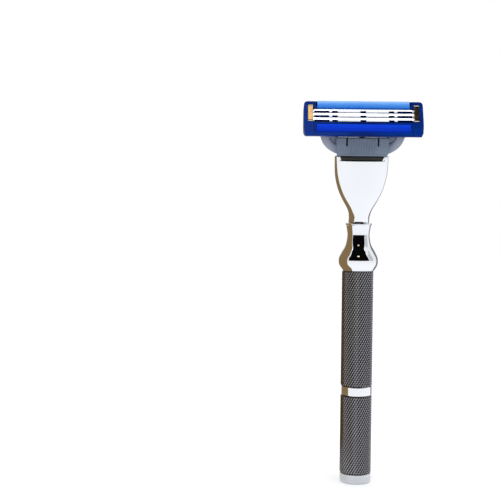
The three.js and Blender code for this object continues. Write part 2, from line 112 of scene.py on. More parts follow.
def skin(rings, loop=False):
    # rows of points joined into one surface; a row of one point is a tip, and a loop has no ends
    points = []
    rows = []
    for ring in rings:
        rows.append((len(points), len(ring)))
        points.extend(tuple(point) for point in ring)
    faces = []
    pairs = list(zip(rows, rows[1:]))
    if loop:
        pairs.append((rows[-1], rows[0]))
    for (a, countA), (b, countB) in pairs:
        count = max(countA, countB)
        for i in range(count):
            j = (i + 1) % count
            corners = [a + i % countA, a + j % countA, b + j % countB, b + i % countB]
            faces.append(list(dict.fromkeys(corners)))
    if not loop:
        faces += [list(range(row, row + count)) for row, count in (rows[0], rows[-1]) if count > 1]
    mesh = bpy.data.meshes.new("work")
    mesh.from_pydata(points, [], faces)
    return cleaned(mesh)


def fullTurn(steps):
    # evenly spaced angles round a circle
    return [i / steps * 2 * math.pi for i in range(steps)]


def circle(radius, height, steps, centreY=0.0):
    if radius < 1e-6:
        return [Vector((0, centreY, height))]
    return [Vector((radius * math.cos(a), centreY + radius * math.sin(a), height)) for a in fullTurn(steps)]


def turned(profile, steps=144, centreY=0.0):
    # a (radius, height) outline turned about an upright axis
    rings = [circle(radius, height, steps, centreY) for radius, height in profile]
    return skin(rings, loop=profile[0][0] > 1e-6)


def prism(outline, axis, low, high):
    # an outline run along x (drawn in y and z) or along y (drawn in x and z)
    if axis == "x":
        return skin([[Vector((s, a, b)) for a, b in outline] for s in (low, high)])
    return skin([[Vector((a, s, b)) for a, b in outline] for s in (low, high)])


def block(xs, ys, zs):
    (y0, y1), (z0, z1) = ys, zs
    return prism([(y0, z0), (y1, z0), (y1, z1), (y0, z1)], "x", *xs)


def middleBlock(halfWidth, ys, zs):
    return block((-halfWidth, halfWidth), ys, zs)


def rodX(radius, xs, y, z, steps=48):
    return prism([(y + radius * math.cos(a), z + radius * math.sin(a)) for a in fullTurn(steps)], "x", *xs)


def rounded(corners, radius, steps=6):
    # an outline whose corners are drawn round; radius is one value, or one for each corner
    radii = radius if isinstance(radius, (list, tuple)) else [radius] * len(corners)
    path = []
    for i, corner in enumerate(corners):
        here = Vector(corner)
        if radii[i] <= 0:
            path.append(tuple(here))
            continue
        before = here + (Vector(corners[i - 1]) - here).normalized() * radii[i]
        after = here + (Vector(corners[(i + 1) % len(corners)]) - here).normalized() * radii[i]
        for step in range(steps + 1):
            t = step / steps
            path.append(tuple(before * (1 - t) ** 2 + here * 2 * t * (1 - t) + after * t * t))
    return path


def ribbon(path, thick, radius, steps=6):
    # a strip of sheet metal seen edge on: an open path with round bends, given a thickness
    bends = rounded(path, [0] + [radius] * (len(path) - 2) + [0], steps)
    line = [Vector(point) for point in bends]
    sides = ([], [])
    for i, here in enumerate(line):
        ahead = (line[min(i + 1, len(line) - 1)] - line[max(i - 1, 0)]).normalized()
        side = Vector((-ahead.y, ahead.x)) * thick / 2
        sides[0].append(tuple(here + side))
        sides[1].append(tuple(here - side))
    return sides[0] + sides[1][::-1]


def workObject(mesh):
    made = bpy.data.objects.new("work", mesh)
    bpy.context.scene.collection.objects.link(made)
    return made


def worked(mesh, *steps):
    # a mesh after some modifiers; a step may name another mesh as its tool
    body = workObject(mesh)
    tools = []
    for kind, settings in steps:
        modifier = body.modifiers.new(kind, kind)
        for key, value in settings.items():
            if key == "object":
                value = workObject(value)
                tools.append(value)
            setattr(modifier, key, value)
    graph = bpy.context.evaluated_depsgraph_get()
    made = bpy.data.meshes.new_from_object(body.evaluated_get(graph), depsgraph=graph)
    for used in (body, *tools):
        bpy.data.objects.remove(used)
    return made


def boolean(mesh, operation, tools):
    settings = {"operation": operation, "solver": "MANIFOLD"}
    return worked(mesh, *[("BOOLEAN", {**settings, "object": tool}) for tool in tools])


def joined(mesh, *others):
    return boolean(mesh, "UNION", others)


def cut(mesh, *tools):
    return boolean(mesh, "DIFFERENCE", tools)


def softened(mesh, width, segments=2, angle=40, flatten=True):
    settings = {
        "width": width,
        "segments": segments,
        "limit_method": "ANGLE",
        "angle_limit": math.radians(angle),
        "use_clamp_overlap": False,
        "miter_outer": "MITER_ARC",
    }
    return worked(cleaned(mesh, flatten), ("BEVEL", settings))


def mirrored(mesh):
    made = mesh.copy()
    made.transform(Matrix.Scale(-1, 4, across))
    return cleaned(made)


def smoothValues(values, along):
    # a smooth curve through evenly spaced values; along runs from 0 to 1
    last = len(values) - 1
    at = min(along, 1) * last
    i = min(int(at), last - 1)
    t = at - i
    p0, p1, p2, p3 = (values[max(0, min(last, i + k))] for k in (-1, 0, 1, 2))
    v0, v1 = (p2 - p0) / 2, (p3 - p1) / 2
    cubic = (2 * p1 - 2 * p2 + v0 + v1) * t**3
    return cubic + (-3 * p1 + 3 * p2 - 2 * v0 - v1) * t**2 + v0 * t + p1


# shader tools
class Val:
    # a shader value whose arithmetic adds Math nodes
    def __init__(self, finish, socket):
        self.finish = finish
        self.socket = socket

    def math(self, operation, other, swap=False):
        node = self.finish.tree.nodes.new("ShaderNodeMath")
        node.operation = operation
        for socket, value in zip(node.inputs, (other, self) if swap else (self, other)):
            self.finish.feed(socket, value)
        return Val(self.finish, node.outputs[0])

    def __add__(self, other):
        return self.math("ADD", other)

    def __radd__(self, other):
        return self.math("ADD", other, True)

    def __sub__(self, other):
        return self.math("SUBTRACT", other)

    def __rsub__(self, other):
        return self.math("SUBTRACT", other, True)

    def __mul__(self, other):
        return self.math("MULTIPLY", other)

    def __rmul__(self, other):
        return self.math("MULTIPLY", other, True)

    def __truediv__(self, other):
        return self.math("DIVIDE", other)

    def __pow__(self, other):
        return self.math("POWER", other)


class Finish:
    # one material: its shader, and one way to add any other node
    def __init__(self, name, fixed):
        self.material = bpy.data.materials.new(name)
        self.material.use_nodes = True
        self.tree = self.material.node_tree
        self.shader = self.tree.nodes["Principled BSDF"]
        for socket, value in fixed.items():
            self.shader.inputs[socket].default_value = value
        self.place = self.add("TexCoord", output="Object")

    def feed(self, socket, value):
        if isinstance(value, Val):
            self.tree.links.new(value.socket, socket)
        else:
            socket.default_value = value

    def add(self, kind, settings=None, inputs=None, output=0):
        node = self.tree.nodes.new("ShaderNode" + kind)
        for key, value in (settings or {}).items():
            if key == "stops":
                while len(node.color_ramp.elements) < len(value):
                    node.color_ramp.elements.new(0.5)
                for element, (position, colour) in zip(node.color_ramp.elements, value):
                    element.position = position
                    element.color = colour
            else:
                setattr(node, key, value)
        for key, value in (inputs or {}).items():
            self.feed(node.inputs[key], value)
        return Val(self, node.outputs[output])

    def blend(self, mask, first, second):
        return self.add("Mix", {"data_type": "RGBA"}, {0: mask, 6: first, 7: second}, 2)

    def stretched(self, scale):
        return self.add("VectorMath", {"operation": "MULTIPLY"}, {0: self.place, 1: scale})

    def along(self, axis):
        # how far a point lies along a direction, in metres
        return self.add("VectorMath", {"operation": "DOT_PRODUCT"}, {0: self.place, 1: axis}, "Value")

    def noise(self, scale, detail=3.0, rough=0.5, place=None):
        inputs = {"Vector": place or self.place, "Scale": scale, "Detail": detail, "Roughness": rough}
        return self.add("TexNoise", None, inputs, "Fac")

    def ramp(self, value, low, high):
        # 0 at low and 1 at high, smooth in between
        settings = {"interpolation_type": "SMOOTHSTEP"}
        return self.add("MapRange", settings, {"Value": value, "From Min": low, "From Max": high})

    def radius(self):
        # distance from the handle's axis
        separated = self.add("SeparateXYZ", None, {"Vector": self.place})
        x, y = (Val(self, separated.socket.node.outputs[i]) for i in range(2))
        return (x * x + y * y) ** 0.5

    def paint(self, socket, value):
        self.feed(self.shader.inputs[socket], value)

    def bump(self, height, depth, strength=1.0):
        inputs = {"Height": height, "Distance": depth, "Strength": strength}
        self.paint("Normal", self.add("Bump", None, inputs, "Normal"))


def shade(red, green, blue):
    # a display colour from 0 to 255 as the linear colour that shaders take
    linear = [((c / 255 + 0.055) / 1.055) ** 2.4 if c > 10 else c / 255 / 12.92 for c in (red, green, blue)]
    return (*linear, 1.0)


finishes = {}


def makeChrome():
    look = {"bright": shade(234, 236, 240), "deep": shade(226, 228, 232), "polish": 0.025, "smudge": 0.07}
    finish = Finish("mirror_chrome", {"Metallic": 1.0})
    cloud = finish.noise(55, 2)
    smudge = finish.ramp(finish.noise(420, 5, 0.6), 0.52, 0.78) * finish.ramp(cloud, 0.4, 0.7)
    finish.paint("Base Color", finish.blend(cloud, look["bright"], look["deep"]))
    finish.paint("Roughness", look["polish"] + look["smudge"] * smudge)
    finish.bump(finish.noise(160, 1), 0.000004)
    return finish.material


def makeSatinSteel():
    # turned metal: fine rings that follow the radius on the ends and the height on the side
    look = {"bright": shade(220, 222, 226), "deep": shade(190, 193, 198), "rough": 0.26, "marks": 0.14}
    finish = Finish("satin_steel", {"Metallic": 1.0})
    radius = finish.radius()
    height = finish.along((0, 0, 1))
    drift = finish.noise(12) * 1.5
    rings = finish.add("CombineXYZ", None, {"X": radius * 9000, "Y": height * 9000, "Z": drift})
    marks = finish.noise(1.0, 2, 0.7, rings)
    finish.paint("Base Color", finish.blend(finish.ramp(marks, 0.3, 0.7), look["deep"], look["bright"]))
    finish.paint("Roughness", look["rough"] + look["marks"] * marks + 0.05 * finish.noise(300))
    finish.bump(marks, 0.000006)
    return finish.material


def makeGunmetal(knurl, outside):
    look = {
        # the pits: dark plating, with painted shade in the grooves
        "pitPlatingAndShade": shade(28, 28, 30),
        "flank": shade(138, 138, 142),
        "crest": shade(216, 217, 222),
        "rough": 0.13,
    }
    # dark plating: black in the pits of the knurl, partly the plating kept there and partly painted shade in
    # the grooves, and rubbed bright on the crests
    finish = Finish("black_nickel", {"Metallic": 1.0})
    floor = (outside - knurl["depth"]) * mm
    relief = finish.add("Clamp", None, {"Value": (finish.radius() - floor) / (knurl["depth"] * mm)})
    wear = finish.noise(900, 4, 0.6)
    patch = finish.noise(90, 3)
    body = finish.blend(finish.ramp(relief, 0.05, 0.6), look["pitPlatingAndShade"], look["flank"])
    rubbed = finish.ramp(relief + 0.35 * (wear - 0.5), 0.86, 1.02) * (0.45 + 0.55 * patch)
    finish.paint("Base Color", finish.blend(rubbed, body, look["crest"]))
    finish.paint("Roughness", look["rough"] + 0.16 * wear - 0.08 * rubbed)
    finish.bump(finish.noise(5200, 3, 0.6), 0.000006)
    return finish.material


def makeSpringSteel():
    look = {"bright": shade(190, 192, 197), "deep": shade(138, 140, 146), "rough": 0.28}
    finish = Finish("drawn_wire", {"Metallic": 1.0})
    streak = finish.noise(1.0, 3, 0.6, finish.stretched((4000, 4000, 900)))
    finish.paint("Base Color", finish.blend(streak, look["deep"], look["bright"]))
    finish.paint("Roughness", look["rough"] + 0.15 * streak)
    finish.bump(streak, 0.000003)
    return finish.material


def makeBladeSteel():
    look = {"bright": shade(238, 241, 246), "deep": shade(205, 209, 217), "rough": 0.17, "grain": 0.16}
    finish = Finish("strip_steel", {"Metallic": 1.0})
    grain = finish.noise(1.0, 4, 0.65, finish.stretched((260, 9000, 9000)))
    stain = finish.ramp(finish.noise(240, 3), 0.5, 0.8)
    worn = finish.ramp(grain + 0.3 * stain, 0.3, 0.95)
    finish.paint("Base Color", finish.blend(worn, look["bright"], look["deep"]))
    finish.paint("Roughness", look["rough"] + look["grain"] * grain)
    finish.bump(grain, 0.000002)
    return finish.material


def makeHonedSteel():
    look = {"bright": shade(250, 251, 253), "deep": shade(188, 193, 202), "rough": 0.1}
    finish = Finish("honed_edge", {"Metallic": 1.0})
    scratch = finish.noise(1.0, 3, 0.7, finish.stretched((16000, 900, 900)))
    finish.paint("Base Color", finish.blend(scratch, look["bright"], look["deep"]))
    finish.paint("Roughness", look["rough"] + 0.12 * scratch)
    finish.bump(scratch, 0.000001)
    return finish.material


def makeClipMetal(name, rough):
    # a pale warm tint: partly the metal's own colour, partly a painted reflection of the kraft board
    look = {"bright": shade(252, 238, 206), "deep": shade(236, 214, 170), "stain": shade(206, 172, 116)}
    finish = Finish(name, {"Metallic": 1.0})
    roll = finish.noise(1.0, 3, 0.6, finish.stretched((9000, 1400, 1400)))
    stain = finish.ramp(finish.noise(700, 3), 0.55, 0.8)
    colour = finish.blend(roll, look["bright"], look["deep"])
    finish.paint("Base Color", finish.blend(0.6 * stain, colour, look["stain"]))
    finish.paint("Roughness", rough + 0.1 * roll)
    finish.bump(roll, 0.000002)
    return finish.material


def makePlastic(name, look):
    # moulded plastic: fine spark-eroded grain, soft flow marks and a little rubbed gloss
    finish = Finish(name, {"Specular IOR Level": look["gloss"], "Coat Roughness": 0.12})
    grain = finish.noise(look["grain"], 3, 0.6)
    flow = finish.noise(1.0, 2, 0.5, finish.stretched((70, 260, 260)))
    speck = finish.ramp(finish.noise(2600, 2), 0.62, 0.8)
    colour = finish.blend(finish.ramp(flow, 0.25, 0.75), look["deep"], look["bright"])
    if "thin" in look:
        # painted light: the wings out at the sides take a lighter tone than the panel, so that the panel
        # looks shaded
        side = finish.along((1, 0, 0)) / mm
        colour = finish.blend(finish.ramp((side * side) ** 0.5, *look["thinFrom"]), colour, look["thin"])
    finish.paint("Base Color", finish.blend(0.25 * speck, colour, look["speck"]))
    finish.paint("Roughness", look["rough"] + 0.12 * grain - 0.05 * flow)
    finish.paint("Coat Weight", look["coat"] * finish.ramp(flow, 0.2, 0.9))
    finish.bump(grain, look["grainDepth"])
    return finish.material


def makeGuardRubber():
    look = {"top": shade(0, 60, 208), "foot": shade(0, 44, 176), "dust": shade(8, 66, 200)}
    low, high = spanIn(cartridgeFrame, "guard_strip")
    finish = Finish("guard_rubber", {"Specular IOR Level": 0.04})
    rise = (finish.along(upCartridge) - pivot.dot(upCartridge)) / mm
    mottle = finish.noise(1300, 4, 0.6)
    # painted light and shade: the guard is lighter towards its top and darker towards its foot
    colour = finish.blend(finish.ramp(rise + 0.5 * (mottle - 0.5), low.z, high.z), look["foot"], look["top"])
    finish.paint("Base Color", finish.blend(0.2 * finish.ramp(mottle, 0.55, 0.8), colour, look["dust"]))
    finish.paint("Roughness", 0.48 + 0.16 * mottle)
    finish.bump(finish.noise(4200, 3), 0.000008)
    return finish.material


def makeStripPolymer():
    look = {"top": shade(128, 176, 226), "middle": shade(70, 142, 226), "foot": shade(20, 112, 214)}
    low, high = spanIn(cartridgeFrame, "lubricating_strip")
    gel = {"Specular IOR Level": 0.3, "Subsurface Weight": 0.12, "Subsurface Scale": 0.0006}
    finish = Finish("strip_polymer", gel)
    rise = (finish.along(upCartridge) - pivot.dot(upCartridge) - low.z * mm) / ((high.z - low.z) * mm)
    mottle = finish.noise(1500, 4, 0.65)
    cloud = finish.noise(220, 3)
    # painted sheen: the strip is painted pale towards its top and deep blue towards its foot
    stops = [(0.0, look["foot"]), (0.45, look["middle"]), (1.0, look["top"])]
    level = rise + 0.28 * (mottle - 0.5) + 0.2 * (cloud - 0.5)
    finish.paint("Base Color", finish.add("ValToRGB", {"stops": stops}, {"Fac": level}, "Color"))
    finish.paint("Roughness", 0.36 + 0.2 * mottle)
    finish.bump(0.6 * mottle + 0.4 * finish.noise(5200, 2), 0.00002)
    return finish.material


def addPiece(name, mesh, place, body, slot, node, sharp=32, finish=None, even=True):
    # sets a piece in place with its finish, and takes over from the CAD node;
    # even keeps flat faces flat where they meet rounded edges
    mesh.transform(place)
    mesh.name = name
    if not any(mesh.materials):
        mesh.materials.clear()
        mesh.materials.append(finish or finishes[slot])
    mesh.shade_smooth()
    mesh.set_sharp_from_angle(angle=math.radians(sharp))
    if even:
        mesh = worked(mesh, ("WEIGHTED_NORMAL", {"keep_sharp": True, "weight": 100}))
        mesh.name = name
    piece = bpy.data.objects.new(name, mesh)
    bpy.context.scene.collection.objects.link(piece)
    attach(piece, body)
    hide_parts(node)
    return piece


def addToCartridge(name, mesh, slot, node, sharp=32, finish=None):
    return addPiece(name, mesh, cartridgeFrame, "cartridge", slot, node, sharp, finish)


# handle
handle = {"rodBore": 2.1, "turnedSteps": 160}


def handleSpan(node):
    low, high = spanIn(handleFrame, node)
    return low.z, high.z, high.x


def arcProfile(centre, radius, start, end, steps=8):
    # points of an arc in (radius, height), its angles in degrees from straight out
    turns = [math.radians(start + (end - start) * i / steps) for i in range(steps + 1)]
    return [(centre[0] + radius * math.cos(a), centre[1] + radius * math.sin(a)) for a in turns]


def makeEndCap():
    look = {"footRound": 0.8, "topRound": 0.22, "recess": 0.18, "recessRadius": 3.9, "rodHole": 1.25}
    foot, top, radius = handleSpan("end_cap")
    footRound, topRound, recessRadius = look["footRound"], look["topRound"], look["recessRadius"]
    profile = [
        (0, foot + look["recess"]),
        (recessRadius - 0.3, foot + look["recess"]),
        (recessRadius - 0.1, foot + look["recess"] * 0.7),
        (recessRadius + 0.1, foot),
        *arcProfile((radius - footRound, foot + footRound), footRound, -90, 0, 12),
        *arcProfile((radius - topRound, top - topRound), topRound, 0, 90, 5),
        (handle["rodBore"] + 0.15, top),
        (handle["rodBore"], top - 0.15),
        (handle["rodBore"], foot + look["rodHole"]),
        (0, foot + look["rodHole"]),
    ]
    mesh = turned(profile, handle["turnedSteps"])
    addPiece("end_cap_turned", mesh, handleFrame, "handle", "satin_steel", "end_cap", 40)


def makeCentreRing():
    look = {"edge": 0.3}
    foot, top, radius = handleSpan("centre_ring")
    edge = look["edge"]
    profile = [
        (handle["rodBore"], foot),
        *arcProfile((radius - edge, foot + edge), edge, -90, 0, 6),
        *arcProfile((radius - edge, top - edge), edge, 0, 90, 6),
        (handle["rodBore"], top),
    ]
    mesh = turned(profile, handle["turnedSteps"])
    addPiece("centre_ring_polished", mesh, handleFrame, "handle", "chrome", "centre_ring", 50)


knurl = {
    "starts": 36,
    "perStart": 6,
    "pitch": 1.62,
    "depth": 0.26,
    "flat": 0.85,
    "second": 0.6,
    "chamfer": 0.3,
}


def knurlRadius(column, row, outside, fromEnd):
    # grooves of both hands cross, one hand shallower, and the pyramids between them keep small flat tops
    share = knurl["perStart"]
    hands = [(column + row) % share / share, (column - row) % share / share]
    drops = [1 - min(1, min(hand, 1 - hand) * 2 / knurl["flat"]) for hand in hands]
    radius = outside - knurl["depth"] * max(drops[0] * knurl["second"], drops[1])
    return min(radius, outside - knurl["chamfer"] + min(fromEnd, knurl["chamfer"]))


def makeKnurledGrip(name, node):
    foot, top, outside = handleSpan(node)
    columns = knurl["starts"] * knurl["perStart"]
    step = knurl["pitch"] / knurl["perStart"]
    rows = round((top - foot) / step)
    points = []
    for row in range(rows + 1):
        height = foot + (top - foot) * row / rows
        fromEnd = min(height - foot, top - height)
        for column, angle in enumerate(fullTurn(columns)):
            radius = knurlRadius(column, row, outside, fromEnd)
            points.append((radius * math.cos(angle), radius * math.sin(angle), height))
    faces = []
    share = knurl["perStart"]
    for row in range(rows):
        for column in range(columns):
            nextColumn = (column + 1) % columns
            a, b = row * columns + column, row * columns + nextColumn
            c, d = b + columns, a + columns
            rising = (column - row) % share == 0 or (
                (column + row + 1) % share != 0 and (column - row) % (share // 2) == 0
            )
            faces += [(a, b, c), (a, c, d)] if rising else [(a, b, d), (b, c, d)]
    # the bore, and the flat ends that join it to the outside
    bore = len(points)
    for height in (foot, top):
        points += [tuple(point) for point in circle(handle["rodBore"], height, columns)]
    last = rows * columns
    for i in range(columns):
        j = (i + 1) % columns
        faces.append((i, bore + i, bore + j, j))
        faces.append((last + i, last + j, bore + columns + j, bore + columns + i))
        faces.append((bore + i, bore + columns + i, bore + columns + j, bore + j))
    mesh = bpy.data.meshes.new(name)
    mesh.from_pydata(points, [], faces)
    cleaned(mesh)
    addPiece(name, mesh, handleFrame, "handle", "gunmetal", node, 18, even=False)


def makeTieRod():
    # a plain rod with a rolled thread at each end
    look = {"pitch": 0.7, "depth": 0.32, "foot": 5.0, "head": 7.5, "steps": 48, "perPitch": 8}
    look |= {"lead": 0.4, "plainRows": 24}
    foot, top, radius = handleSpan("tie_rod")
    rowStep = look["pitch"] / look["perPitch"]
    rows = round((top - foot) / rowStep)
    rings = [circle(radius - look["lead"], foot, look["steps"])]
    for row in range(1, rows):
        height = foot + (top - foot) * row / rows
        fromThread = max(height - foot - look["foot"], 0) * max(top - look["head"] - height, 0)
        if fromThread > 0 and row % look["plainRows"]:
            continue
        ring = []
        for i, angle in enumerate(fullTurn(look["steps"])):
            phase = (height / look["pitch"] - i / look["steps"]) % 1
            groove = 0 if fromThread > 0 else look["depth"] * (1 - abs(2 * phase - 1))
            lead = min(height - foot, top - height, look["lead"])
            out = min(radius - groove, radius - look["lead"] + lead)
            ring.append(Vector((out * math.cos(angle), out * math.sin(angle), height)))
        rings.append(ring)
    rings.append(circle(radius - look["lead"], top, look["steps"]))
    addPiece("tie_rod_threaded", skin(rings), handleFrame, "handle", "satin_steel", "tie_rod", 40)


collarShape = {
    # radius and height of points that the outside runs through
    "outside": [
        (5.85, 77.45),
        (6.97, 79.3),
        (7.24, 81.0),
        (6.99, 82.55),
        (6.02, 84.5),
        (4.68, 86.95),
        (4.1, 90.05),
        (4.28, 92.15),
        (4.6, 93.9),
    ],
    "steps": 96,
    "lipThick": 0.7,
    "lipRound": 0.16,
    "lipRadius": 4.85,
    "spigotBore": 2.88,
    "spigotSeat": 85.55,
}


def makeCollar():
    shape = collarShape
    top = handleSpan("collar")[1]
    outside = []
    for step in range(shape["steps"] + 1):
        along = step / shape["steps"]
        outside.append(tuple(smoothValues([point[i] for point in shape["outside"]], along) for i in (0, 1)))
    lip, edge = shape["lipRadius"], shape["lipRound"]
    under = top - shape["lipThick"]
    profile = [
        (handle["rodBore"], outside[0][1]),
        (outside[0][0] - 0.15, outside[0][1]),
        *outside,
        *arcProfile((lip - edge, under + edge), edge, -90, 0, 5),
        *arcProfile((lip - edge, top - edge), edge, 0, 90, 5),
        (shape["spigotBore"], top),
        (shape["spigotBore"], shape["spigotSeat"]),
        (handle["rodBore"], shape["spigotSeat"]),
    ]
    addPiece("collar_polished", turned(profile, 192), handleFrame, "handle", "chrome", "collar", 50)


# neck
neckShape = {
    # height, forward, half width, half thickness, squareness, lean in degrees
    "sections": [
        (94.75, 0.3, 3.85, 3.85, 2.0, 0.0),
        (97.15, 1.3, 3.87, 3.75, 2.0, 16.0),
        (99.85, 2.8, 4.55, 3.6, 2.1, 23.0),
        (103.25, 4.3, 6.45, 3.45, 2.0, 18.0),
        (107.05, 5.2, 8.15, 3.4, 2.0, 12.0),
        (111.85, 6.05, 9.3, 3.4, 2.5, 10.0),
        (117.25, 7.0, 9.6, 3.4, 3.6, 10.0),
    ],
    "steps": 84,
    "sides": 128,
    "rim": 0.3,
    "rimStart": 0.985,
    "spigot": 2.8,
    "spigotFoot": 85.85,
    "rodTop": 93.0,
    "cheek": {"inner": 8.0, "top": 1.6},
    "pocket": {"halfWidth": 6.7, "front": -2.3, "back": 2.7, "foot": -5.0},
    "stem": {"halfWidth": 4.2, "foot": -11.3},
}


def neckRing(along, inset=0.0, rise=0.0):
    values = [smoothValues([section[i] for section in neckShape["sections"]], along) for i in range(6)]
    height, forward, halfWidth, halfThick, square, leanDeg = values
    lean = math.radians(leanDeg)
    ring = []
    for angle in fullTurn(neckShape["sides"]):
        c, s = math.cos(angle), math.sin(angle)
        x = (halfWidth - inset) * math.copysign(abs(c) ** (2 / square), c)
        y = (halfThick - inset) * math.copysign(abs(s) ** (2 / square), s)
        down = math.sin(lean) * y + math.cos(lean) * rise
        ring.append(Vector((x, math.cos(lean) * y - math.sin(lean) * rise - forward, height + down)))
    return ring


def makeNeck():
    shape = neckShape
    sides = shape["sides"]
    rings = [
        circle(0, shape["rodTop"], sides),
        circle(handle["rodBore"], shape["rodTop"], sides),
        circle(handle["rodBore"], shape["spigotFoot"], sides),
        circle(shape["spigot"] - 0.25, shape["spigotFoot"], sides),
        circle(shape["spigot"], shape["spigotFoot"] + 0.25, sides),
        circle(shape["spigot"], shape["sections"][0][0], sides),
        neckRing(0, 0.2),
        neckRing(0, 0.06, 0.06),
    ]
    for step in range(1, shape["steps"] + 1):
        rings.append(neckRing(shape["rimStart"] * step / shape["steps"]))
    rim, cheek = shape["rim"], shape["cheek"]
    rings.append(neckRing(1))
    for step in range(7):
        turn = step / 6 * math.pi / 2
        rings.append(neckRing(1, rim * (1 - math.cos(turn)), cheek["top"] + rim * (math.sin(turn) - 1)))
    casting = skin(rings)
    toHandle = handleFrame.inverted() @ headFrame
    pocket, stem = shape["pocket"], shape["stem"]
    fits = (pocket["front"], pocket["back"])
    tools = [
        middleBlock(cheek["inner"], (-4, 4), (0, 3)),
        middleBlock(pocket["halfWidth"], fits, (pocket["foot"], 3)),
        middleBlock(stem["halfWidth"], fits, (stem["foot"], 3)),
    ]
    for tool in tools:
        tool.transform(toHandle)
    casting = cut(casting, *tools)
    casting = softened(casting, 0.1, 2, 50, False)
    addPiece("neck_casting", casting, handleFrame, "handle", "chrome", "neck", 40)


# dock
dockShape = {"axisY": 0.6, "bore": 1.2, "springBore": 1.6, "springBoreTop": -1.5, "edge": 0.14}


def dockBore(radius, foot, top):
    # a round tool on the plunger's axis
    return turned([(0, foot), (radius, foot), (radius, top), (0, top)], 64, dockShape["axisY"])


def makeDockInsert():
    shape = dockShape
    look = {
        "body": (6.6, -4.9),
        "stem": (4.1, -10.9),
        "depth": (-2.2, 2.6),
        "shoulder": (7.2, 7.9, 0.05, 1.6, 3.0),
        "tongue": (5.5, -1.2, 2.4),
        "boreFoot": -3,
        "springFoot": -12,
    }
    top = spanIn(headFrame, "dock_insert")[1].z
    narrow, wide, foot, head, deep = look["shoulder"]
    corners = [(-narrow, foot), (narrow, foot), (wide, head), (-wide, head)]
    outline = rounded(corners, [0.2, 0.2, 0.35, 0.35])
    shoulder = softened(prism(outline, "y", -deep, deep), 0.3, 3)
    halfWidth, front, back = look["tongue"]
    insert = joined(
        shoulder,
        middleBlock(look["body"][0], look["depth"], (look["body"][1], head / 2)),
        middleBlock(look["stem"][0], look["depth"], (look["stem"][1], 0.5)),
        middleBlock(halfWidth, (front, back), (head / 2, top)),
    )
    insert = cut(
        insert,
        dockBore(shape["bore"], look["boreFoot"], top + 1),
        dockBore(shape["springBore"], look["springFoot"], shape["springBoreTop"]),
    )
    insert = softened(insert, shape["edge"], 2)
    addPiece("dock_insert_moulded", insert, headFrame, "handle", "black_plastic", "dock_insert")


def makePlunger():
    look = {"radius": 1.1, "tip": 0.35, "flange": 1.45, "flangeTop": -2.4, "edge": 0.12}
    low, high = spanIn(headFrame, "plunger")
    edge = look["edge"]
    profile = [
        (0, low.z),
        (look["flange"] - edge, low.z),
        (look["flange"], low.z + edge),
        (look["flange"], look["flangeTop"] - edge),
        (look["flange"] - edge, look["flangeTop"]),
        (look["radius"] + 0.05, look["flangeTop"]),
        (look["radius"], look["flangeTop"] + 0.05),
        *arcProfile((look["radius"] - look["tip"], high.z - look["tip"]), look["tip"], 0, 90, 8),
        (0, high.z),
    ]
    mesh = turned(profile, 72, dockShape["axisY"])
    addPiece("plunger_moulded", mesh, headFrame, "plunger", "black_plastic", "plunger", 40)


def makePlungerSpring():
    # an open coil with a closed turn at each end
    look = {"wire": 0.17, "coil": 1.15, "turns": 8, "perTurn": 28, "sides": 10, "closed": 0.1, "play": 1.05}
    low, high = spanIn(headFrame, "plunger_spring")
    foot, head = low.z + look["wire"], high.z - look["wire"]
    count = look["turns"] * look["perTurn"]
    rings = []
    for step in range(count + 1):
        along = step / count
        angle = along * look["turns"] * 2 * math.pi
        opened = max(0.0, min(1.0, (along - look["closed"]) / (1 - 2 * look["closed"])))
        closedRise = 2 * look["wire"] * look["turns"] * look["closed"] * look["play"]
        rise = min(along, look["closed"]) / look["closed"] * closedRise
        rise += max(0.0, along - 1 + look["closed"]) / look["closed"] * closedRise
        height = foot + rise + opened * (head - foot - 2 * closedRise)
        out = Vector((math.cos(angle), math.sin(angle), 0))
        centre = out * look["coil"] + Vector((0, dockShape["axisY"], height))
        ring = []
        for around in fullTurn(look["sides"]):
            ring.append(centre + (out * math.cos(around) + Vector((0, 0, math.sin(around)))) * look["wire"])
        rings.append(ring)
    mesh = skin(rings)
    piece = addPiece("plunger_spring_coil", mesh, headFrame, "handle", "spring_steel", "plunger_spring", 60)
    travel = joints["plunger_slide"]["range_m"][1] / mm
    keep = 1 - travel / (high.z - low.z)
    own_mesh(piece)


# connector
yoke = {
    "foot": 1.7,
    "top": 8.2,
    "halfWidth": 9.3,
    "footHalfWidth": 8.6,
    "front": -3.3,
    "back": 3.3,
    "edge": 0.35,
    "ribs": 11,
    "ribPitch": 0.92,
    "ribWidth": 0.46,
    "ribHeight": 0.2,
    "slotX": 5.55,
    "slotWidth": 0.6,
    "slotFoot": 5.2,
    "socket": {"halfWidth": 5.62, "front": -1.32, "back": 2.52, "top": 7.72},
    "wingOuter": [(8.3, 2.2), (11.6, 3.1), (14.5, 5.3), (14.95, 8.9)],
    "wingInner": [(7.4, 5.5), (9.9, 5.9), (11.3, 6.9), (11.6, 8.35)],
    "wingMiddle": -1.8,
    "wingDepth": 1.12,
    "web": [(8.6, 5.2), (11.4, 6.2), (12.6, 8.4), (8.6, 8.4)],
    "armOuter": 14.95,
    "armInner": 13.4,
    "armHead": 1.25,
    "pin": 0.8,
    "pinEnd": 11.8,
    "plungerHole": 1.32,
}


def bezier(points, t):
    p0, p1, p2, p3 = (Vector(point) for point in points)
    u = 1 - t
    return p0 * u**3 + p1 * 3 * u * u * t + p2 * 3 * u * t * t + p3 * t**3


